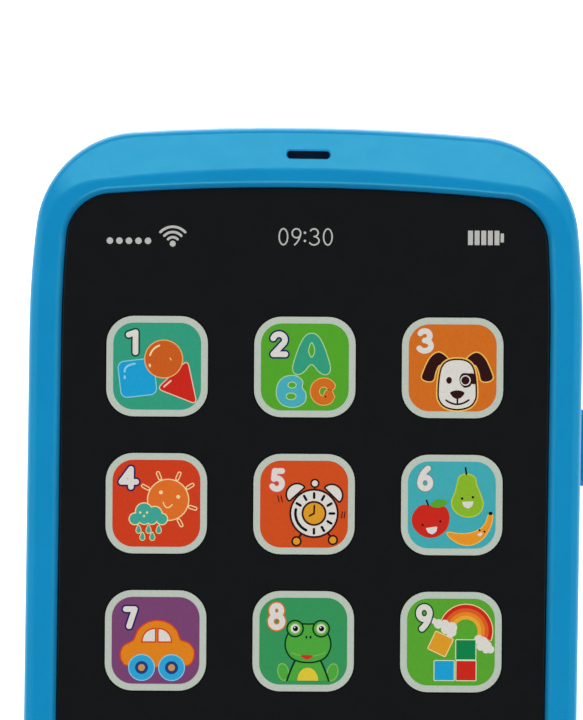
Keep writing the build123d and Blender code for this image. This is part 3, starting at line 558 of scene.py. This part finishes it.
def fruit_key(art):
    pear = smooth([
        (2.0, 4.1), (3.0, 3.7), (3.3, 2.6), (3.8, 1.4), (4.15, 0.2), (3.8, -0.85), (3.0, -1.4), (2.0, -1.5),
        (0.95, -1.15), (0.2, -0.35), (0.1, 0.6), (0.55, 1.8), (0.8, 2.9), (1.1, 3.8),
    ])
    art.outlined(pear, "pear", "pear_edge", 0.16)
    art.line([(1.82, 5.0), (1.95, 4.15)], 0.24, "black")
    art.dots([(1.39, 0.88), (2.83, 1.07)], 0.17, "black")
    grin(art, 2.15, 0.5, 1.6, 3)
    banana = smooth([
        (-0.55, -3.75), (0.3, -4.75), (1.8, -5.35), (3.3, -5.1), (4.5, -4.1), (5.25, -2.7), (5.45, -1.35),
        (5.0, -1.3), (4.6, -2.4), (3.9, -3.2), (2.7, -3.75), (1.2, -3.9),
    ])
    art.outlined(banana, "banana", "banana_edge", 0.12)
    art.shape(moved(round_rect(0.5, 0.42, 0.1), 5.22, -1.1, 10), "black")
    art.dots([(3.76, -3.35), (4.42, -3.55)], 0.14, "black")
    grin(art, 3.75, -3.75, 0.75, 25)
    apple = smooth([
        (-3.0, -0.15), (-1.9, 0.05), (-0.75, -0.5), (-0.35, -1.8), (-0.75, -3.2), (-1.8, -4.1),
        (-3.0, -4.35), (-4.2, -3.9), (-5.1, -2.9), (-5.25, -1.6), (-4.6, -0.5), (-3.8, -0.05),
    ])
    art.outlined(apple, "scarlet", "red", 0.1)
    art.line([(-3.4, 0.6), (-3.15, -0.05)], 0.22, "black")
    leaf = [(-2.85, -0.05), (-2.2, 0.65), (-1.2, 0.75), (-0.6, 0.4), (-1.2, -0.2), (-2.1, -0.35)]
    art.shape(smooth(leaf), "grass")
    art.dots([(-3.9, -2.7), (-1.52, -2.2)], 0.16, "umber")
    grin(art, -2.7, -3.0, 1.6, 8)
    key_digit(art, "6", "grey", 0.12)


def car_key(art):
    body = smooth([
        (0.24, 2.6), (1.7, 2.25), (2.75, 1.3), (3.3, 0.05), (4.3, -0.35), (5.0, -1.1), (5.1, -2.1),
        (4.7, -3.0), (3.9, -3.3), (0.2, -3.5), (-3.6, -3.35), (-4.4, -2.8), (-4.65, -1.9),
        (-4.3, -0.9), (-3.5, -0.4), (-2.85, 0.05), (-2.3, 1.3), (-1.2, 2.25),
    ])
    art.outlined(body, "car", "rust", 0.18)
    glass = arc(0, 0, 1.62, 1.62, 0, 90, 10) + [(0, 0)]
    for x, flip in ((0.42, 1), (-0.1, -1)):
        pane = [(x + flip * px, -0.12 + py) for px, py in glass]
        art.outlined(pane[::flip], "white", "rust", 0.2)
    wheel_y = -3.66
    for wheel_x in (-1.87, 2.17):
        art.outlined(disc(wheel_x, wheel_y, 1.68), "wheel", "ice", 0.12)
        art.shape(disc(wheel_x, wheel_y, 0.87), "rim_navy")
        art.shape(disc(wheel_x, wheel_y, 0.46), "hub")
    key_digit(art, "7", "navy")


def frog_key(art):
    middle = 0.64
    for x, lean in ((3.95, -12), (2 * middle - 3.95, 12)):
        art.outlined(disc(x, -4.15, 0.62, 1.05, lean), "frog", "frog_light", 0.18)
    flank = [(2.2, -2.3), (2.9, -3.6), (3.45, -5.3)]
    art.shape(flank + mirrored(flank, middle), "frog")
    for edge in (flank, mirrored(flank, middle)):
        art.curve(bend(*edge), 0.26, "frog_dark")
    art.shape(arc(middle, -5.3, 1.4, 1.75, 0, 180, 20), "belly")
    side = [(1.9, 2.1), (3.2, 1.0), (3.6, -0.6), (3.0, -2.0), (1.9, -2.6)]
    head = smooth([(middle, 2.2)] + side + [(middle, -2.75)] + mirrored(side, middle))
    art.outlined(head, "frog", "frog_dark", 0.22)
    art.curve(bend((-1.6, -1.55), (middle, -2.5), (2.9, -1.55)), 0.12, "frog_light")
    for x in (-1.1, 2.4):
        art.outlined(disc(x, 1.7, 0.98), "frog", "frog_dark", 0.22)
        art.shape(disc(x, 1.7, 0.78), "frog_light")
        art.shape(disc(x, 1.7, 0.6), "white")
        art.shape(disc(x + 0.05, 1.7, 0.36), "black")
        art.shape(disc(x - 0.08, 1.85, 0.1), "white")
    for x in (0.42, 0.98):
        art.shape(disc(x, 0.55, 0.13, 0.2), "frog_dark")
    art.shape(smooth([(-0.35, -1.95), (0.5, -1.85), (1.35, -1.95), (0.5, -2.45)]), "lip")
    key_digit(art, "8", "sun", 0.16)


def rainbow_key(art):
    x, y = 2.01, 1.5
    art.curve(arc(x, y, 3.1, 3.1, 172, -22, 28), 1.16, "cream", False)
    bands = [("scarlet", 3.3, 0.52), ("band_2", 2.8, 0.52), ("band_3", 2.3, 0.52), ("band_4", 1.82, 0.5)]
    for ink_name, r, width in bands:
        art.curve(arc(x, y, r, r, 171, -21, 28), width, ink_name, False)
    art.outlined(moved(round_rect(2.5, 2.5, 0.1, 3), -1.4, -0.25, -25), "amber", "cream", 0.13)
    for lobes in (
        [(-2.35, 2.85, 0.35), (-1.7, 2.45, 0.6), (-0.85, 2.35, 0.62), (0.1, 1.95, 0.7), (0.1, 1.35, 0.6),
         (-0.7, 1.7, 0.6), (-0.1, 1.0, 0.42)],
        [(3.75, 0.35, 0.6), (4.3, 0.0, 0.7), (4.8, -0.45, 0.65), (4.0, -0.6, 0.5), (5.3, -0.95, 0.5),
         (4.7, -1.05, 0.42)],
    ):
        art.discs(lobes, "white", "pale", 0.04)
    block = round_rect(2.6, 2.6, 0.05, 2)
    for x, y, fill in ((2.01, -1.02, "block_green"), (-0.89, -3.83, "blue"), (2.05, -3.83, "scarlet")):
        art.outlined(moved(block, x, y), fill, "pale", 0.12)
    key_digit(art, "9", "deep_green", 0.18)


def music_key(art):
    for x, y in ((-1.6, -2.9), (2.2, -2.1)):
        art.outlined(disc(x, y, 1.15, 0.85, 22), "navy", "white", 0.16)
    stems = [[(-0.6, -2.7), (-0.6, 2.0)], [(3.2, -1.9), (3.2, 2.8)]]
    for width, ink_name in ((0.72, "white"), (0.42, "navy")):
        for stem in stems:
            art.line(stem, width, ink_name)
    beam = rounded([(-0.82, 1.2), (3.42, 2.0), (3.42, 3.3), (-0.82, 2.5)], 0.2, 3)
    art.outlined(beam, "navy", "white", 0.15)
    art.outlined(disc(-3.3, 3.3, 0.5), "rose", "white", 0.12)


def star_key(art):
    corners = []
    for i in range(10):
        r = 2.7 if i % 2 == 0 else 1.35
        angle = radians(90 + 36 * i)
        corners.append((1.4 + r * cos(angle), -1.3 + r * sin(angle)))
    art.outlined(rounded(corners, 0.35, 4), "yellow", "white", 0.16)
    for x in (0.75, 2.05):
        art.shape(disc(x, -1.0, 0.2, 0.26), "umber")
    art.curve(bend((0.85, -1.75), (1.4, -2.4), (1.95, -1.75)), 0.18, "umber")
    key_digit(art, "0", "navy")


def heart_key(art):
    side = [(1.1, 2.6), (2.7, 3.0), (3.8, 1.8), (3.6, 0.0), (2.2, -2.0), (0.8, -3.4)]
    heart = smooth([(0, 1.6)] + side + [(0, -4.0)] + mirrored(side, 0.0))
    art.outlined(heart, "scarlet", "white", 0.2)
    art.curve(arc(-1.6, 1.0, 1.3, 1.3, 95, 175), 0.3, "blush")
    art.shape(disc(-2.95, 0.2, 0.17, 0.28), "blush")


def handset(art, lean):
    """A telephone handset, ends down, turned by an angle in degrees."""
    bow = arc(0, -2.6, 3.7, 3.7, 145, 35, 20)
    ends = [moved(round_rect(1.9, 2.3, 0.5), x, -1.0, tilt) for x, tilt in ((-2.9, -35), (2.9, 35))]
    art.curve(moved(bow, 0, 0, lean), 1.5, "white")
    for end in ends:
        art.shape(moved(end, 0, 0, lean), "white")


def call_key(art):
    handset(art, 45)
    for r in (1.7, 2.9):
        art.curve(arc(0.9, 0.9, r, r, 20, 70, 12), 0.4, "lime")


def letter_key(art):
    art.outlined(round_rect(7.6, 5.2, 0.5), "white", "navy", 0.18)
    for side in (-1, 1):
        art.line([(side * 3.6, 2.35), (0, -0.5)], 0.22, "navy")
        art.line([(side * 3.6, -2.3), (side * 1.25, 0.2)], 0.22, "navy")
    art.outlined(disc(3.5, 2.6, 0.85), "scarlet", "white", 0.15)


def hang_up_key(art):
    handset(art, 0)


KEYS = [                     # ground colour and picture, three to a row, from the earpiece end
    ("teal", shapes_key), ("green", letters_key), ("orange", dog_key),
    ("red", weather_key), ("vermilion", clock_key), ("cyan", fruit_key),
    ("purple", car_key), ("leaf", frog_key), ("grass", rainbow_key),
    ("yellow", music_key), ("sky", star_key), ("pink", heart_key),
    ("leaf", call_key), ("cyan", letter_key), ("red", hang_up_key),
]
PITCH_X, PITCH_Y = 19.86, 18.44
FIRST_ROW = 32.3             # from the phone's top edge to the middle of the first row
KEY_WIDE, KEY_TALL, KEY_ROUND = 13.62, 13.5, 3.7
BORDER = 0.9                 # the pale band inside the key's outline
KEY_SHADOW = 0.2             # and the black one outside it


def make_key(index, ground, draw):
    column, row = index % 3, index // 3
    x, y = (column - 1) * PITCH_X, TOP_EDGE_Y - FIRST_ROW - row * PITCH_Y
    art = Artwork(f"key_{index + 1}_print", x, y)
    for grown_by, ink_name in ((KEY_SHADOW, "black"), (0, "border"), (-BORDER, ground)):
        size = KEY_WIDE + 2 * grown_by, KEY_TALL + 2 * grown_by
        art.shape(round_rect(*size, KEY_ROUND + grown_by), ink_name)
    draw(art)
    art.finish()


# ---- Status bar ------------------------------------------------------------------------
STATUS_DOWN = 14.8           # from the phone's top edge
SIGNAL_X, SIGNAL_Y, SIGNAL_PITCH = -26.3, -0.66, 1.28
WAVE_X, WAVE_Y, WAVE_STROKE = -17.85, -1.02, 0.34
CLOCK_X, CLOCK_STROKE = -3.75, 0.2
CLOCK_DIGIT_WIDE, CLOCK_DIGIT_TALL, CLOCK_GAP = 1.24, 2.15, 0.42
BATTERY_X, BAR_PITCH = 22.15, 0.89


def status_bar():
    """Signal dots, a radio wave, the time and a battery gauge."""
    art = Artwork("status_print", 0, TOP_EDGE_Y - STATUS_DOWN)
    art.dots([(SIGNAL_X + SIGNAL_PITCH * i, SIGNAL_Y) for i in range(5)], 0.44, "status")
    art.shape(disc(WAVE_X, WAVE_Y, 0.4), "status")
    for r in (0.87, 1.56, 2.27):
        art.curve(arc(WAVE_X, WAVE_Y, r, r, 43, 137), WAVE_STROKE, "status")
    x = CLOCK_X
    for mark in "09:30":
        if mark == ":":
            art.dots([(x + 0.15, -0.55), (x + 0.15, 0.55)], 0.17, "status")
            x += 0.3 + CLOCK_GAP
            continue
        box = (x + 0.14, -CLOCK_DIGIT_TALL / 2, CLOCK_DIGIT_WIDE, CLOCK_DIGIT_TALL)
        draw_digit(art, mark, *box, CLOCK_STROKE, "status")
        x += CLOCK_DIGIT_WIDE + 0.28 + CLOCK_GAP * 0.55
    for i in range(5):
        bar = round_rect(0.66, 1.94, 0.05, 3)
        art.shape(moved(bar, BATTERY_X + BAR_PITCH * i, 0), "status")
    art.shape(moved(round_rect(0.45, 1.2, 0.05, 3), 26.42, 0), "status")
    art.finish()


# ---- Materials on the CAD parts --------------------------------------------------------------
def dress(material, *nodes):
    """Gives the CAD nodes this material."""
    for name in nodes:
        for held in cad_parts[name].material_slots:
            held.material = material


def dress_parts():
    dress(surface("case_plastic", linear(17, 141, 197), rough=(0.28, 0.36), mottle=0.03, mottle_mm=9,
                  peel_mm=1.6, peel=0.0006, tint=(0.27, 1.0, 0.95)),
          "front_case", "rear_case", "battery_lid", "side_button", "home_button")
    dress(surface("screen_plastic", linear(17, 18, 20), rough=(0.05, 0.08), mottle=0.08, mottle_mm=3,
                  peel_mm=12, peel=0.001), "screen_lens")
    dress(surface("tape_foam", linear(225, 225, 220), rough=(0.8, 0.95), peel_mm=0.3, peel=0.03),
          "lens_tape")
    dress(surface("guide_acrylic", linear(228, 232, 234), rough=(0.4, 0.55), peel_mm=0.4, peel=0.01,
                  subsurface=0.3), "light_guide")
    dress(surface("board_mask", linear(20, 105, 60), rough=(0.3, 0.45), mottle=0.15, mottle_mm=2.5,
                  peel_mm=0.5, peel=0.01), "touch_board", "switch_board")
    dress(surface("lamp_moulding", linear(240, 232, 190), rough=(0.2, 0.3), subsurface=0.2), "key_leds")
    dress(surface("epoxy", linear(14, 14, 15), rough=(0.2, 0.5), peel_mm=2, peel=0.05), "chip_blob")
    dress(surface("chip_ceramic", linear(110, 86, 66), rough=(0.4, 0.6)), "smd_parts")
    dress(surface("can_sleeve", linear(40, 60, 120), rough=(0.25, 0.35), coat=0.3), "capacitor")
    dress(surface("gauze", linear(10, 38, 66), rough=(0.4, 0.6), peel_mm=0.12, peel=0.02, metallic=0.3),
          "earpiece_mesh")
    dress(surface("black_moulding", linear(24, 24, 26), rough=(0.4, 0.55), peel_mm=0.25, peel=0.012),
          "side_switch_body", "power_switch_knob")
    dress(surface("white_moulding", linear(222, 222, 216), rough=(0.35, 0.5)), "side_switch_plunger")
    dress(surface("silicone", linear(200, 200, 196), rough=(0.55, 0.7), subsurface=0.2), "home_dome")
    dress(surface("plated_steel", linear(188, 188, 186), rough=(0.22, 0.42), mottle=0.05, mottle_mm=1.5,
                  peel_mm=0.3, peel=0.006, metallic=1.0, stretch=(1, 6, 1)),
          "power_switch_body", "speaker_basket", "speaker_washers")
    dress(surface("nickel_plate", linear(196, 192, 180), rough=(0.2, 0.35), metallic=1.0, peel_mm=0.4,
                  peel=0.004),
          "positive_terminal", "negative_terminal", "upper_bridge", "lower_bridge", "contact_springs")
    dress(surface("screw_zinc", linear(176, 178, 182), rough=(0.25, 0.45), metallic=1.0, mottle=0.1,
                  mottle_mm=0.8, peel_mm=0.2, peel=0.006),
          "lid_screw_lower", "lid_screw_upper", "case_screws", "board_screws", "speaker_screws",
          "switch_screws")
    dress(surface("cell_sleeve", linear(36, 110, 74), rough=(0.2, 0.3), coat=0.4), "batteries")
    dress(surface("cone_paper", linear(34, 33, 34), rough=(0.75, 0.95), peel_mm=0.5, peel=0.06),
          "speaker_cone")
    dress(surface("ferrite", linear(62, 62, 66), rough=(0.5, 0.7), peel_mm=0.4, peel=0.03),
          "speaker_magnet")
    dress(surface("foam", linear(30, 30, 31), rough=(0.85, 1.0), peel_mm=0.5, peel=0.1), "speaker_gasket")
    dress(surface("phenolic", linear(150, 96, 54), rough=(0.45, 0.6), mottle=0.2, mottle_mm=1.0),
          "speaker_terminals")
    for colour, rgb in (("red", (190, 26, 24)), ("black", (20, 20, 21)), ("blue", (24, 74, 170))):
        sleeve = surface("wire_" + colour, linear(*rgb), rough=(0.3, 0.45), peel_mm=0.8, peel=0.01)
        dress(sleeve, *[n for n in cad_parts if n.endswith("wire_" + colour)])


def make_dome():
    """The silicone dome under the home button, which on the toy flattens as the button goes down; here a
    copy with a mesh of its own, hung on the casing in place of the CAD node.
    """
    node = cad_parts["home_dome"]
    dome = place_in_scene("home_dome_rubber", node.data.copy())
    dome.matrix_world = node.matrix_world.copy()
    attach(dome, "casing")
    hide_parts("home_dome")
    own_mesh(dome)


# ---- Floor, light and camera ---------------------------------------------------------------
FLOOR_SIZE = 6.0
FLOOR_DROP = 0.00005         # just clear of the phone's back
FLOOR_GLOW = 1.0
WORLD_GLOW = 0.10


def make_floor():
    bpy.ops.mesh.primitive_plane_add(size=FLOOR_SIZE, location=(0, 0, -FLOOR_DROP))
    floor = bpy.context.object
    floor.name = "floor"
    paper = surface("floor_paper", linear(250, 250, 250), rough=(0.85, 0.95), mottle=0.01, mottle_mm=40,
                    peel_mm=1.0, peel=0.002)
    shader = paper.node_tree.nodes["Principled BSDF"]
    shader.inputs["Emission Color"].default_value = (1, 1, 1, 1)
    shader.inputs["Emission Strength"].default_value = FLOOR_GLOW
    floor.data.materials.append(paper)


AIM = Vector((0, 0.03, 0))   # where the lights point
LIGHTS = [                   # name, place, size and watts
    ("key", (0.0, 0.68, 0.51), (1.0, 0.3), 4.5),
    ("fill", (0.0, -0.55, 0.6), (0.8, 0.3), 3.9),
    ("left", (-0.66, 0.1, 0.34), (0.25, 0.9), 1.1),
    ("right", (0.66, 0.1, 0.34), (0.25, 0.9), 1.1),
]


def area_light(name, place, size, watts):
    data = bpy.data.lights.new(name, "AREA")
    data.shape = "RECTANGLE"
    data.size, data.size_y = size
    data.energy = watts
    lamp = place_in_scene(name, data)
    lamp.location = place
    lamp.rotation_euler = (AIM - Vector(place)).to_track_quat("-Z", "Y").to_euler()


def make_light():
    world = bpy.data.worlds.new("studio")
    bpy.context.scene.world = world
    world.use_nodes = True
    background = world.node_tree.nodes["Background"]
    background.inputs["Color"].default_value = (1, 1, 1, 1)
    background.inputs["Strength"].default_value = WORLD_GLOW
    for light in LIGHTS:
        area_light(*light)


VIEW_WIDE = 78.28            # how much of the phone's screen plane the picture spans, in mm
PICTURE_WIDE, PICTURE_TALL = 583, 720
VIEW_TALL = VIEW_WIDE * PICTURE_TALL / PICTURE_WIDE
VIEW_X, VIEW_DOWN = -1.88, 31.36    # the picture's middle, from the phone's middle and top edge
FOCAL, SENSOR = 420.0, 36.0         # a long lens; the sensor's width lies along the picture's height
LEAN, ROLL = 1.0, 0.84              # in degrees; the camera leans towards the earpiece end


def make_camera():
    data = bpy.data.cameras.new("camera")
    data.lens, data.sensor_width = FOCAL, SENSOR
    camera = place_in_scene("camera", data)
    away = VIEW_TALL * FOCAL / SENSOR * MM
    target = Vector((VIEW_X * MM, (TOP_EDGE_Y - VIEW_DOWN) * MM, CASE_HIGH.z))
    camera.location = target + Vector((0, sin(radians(LEAN)), cos(radians(LEAN)))) * away
    turn = Matrix.Rotation(radians(-LEAN), 3, "X") @ Matrix.Rotation(radians(ROLL), 3, "Z")
    camera.rotation_euler = turn.to_euler()
    bpy.context.scene.camera = camera


def set_colour_management():
    settings = bpy.context.scene.view_settings
    settings.view_transform = "Standard"
    settings.look = "None"


make_camera()
for index, (ground, draw) in enumerate(KEYS):
    make_key(index, ground, draw)
status_bar()
dress_parts()
make_dome()
make_floor()
make_light()
set_colour_management()
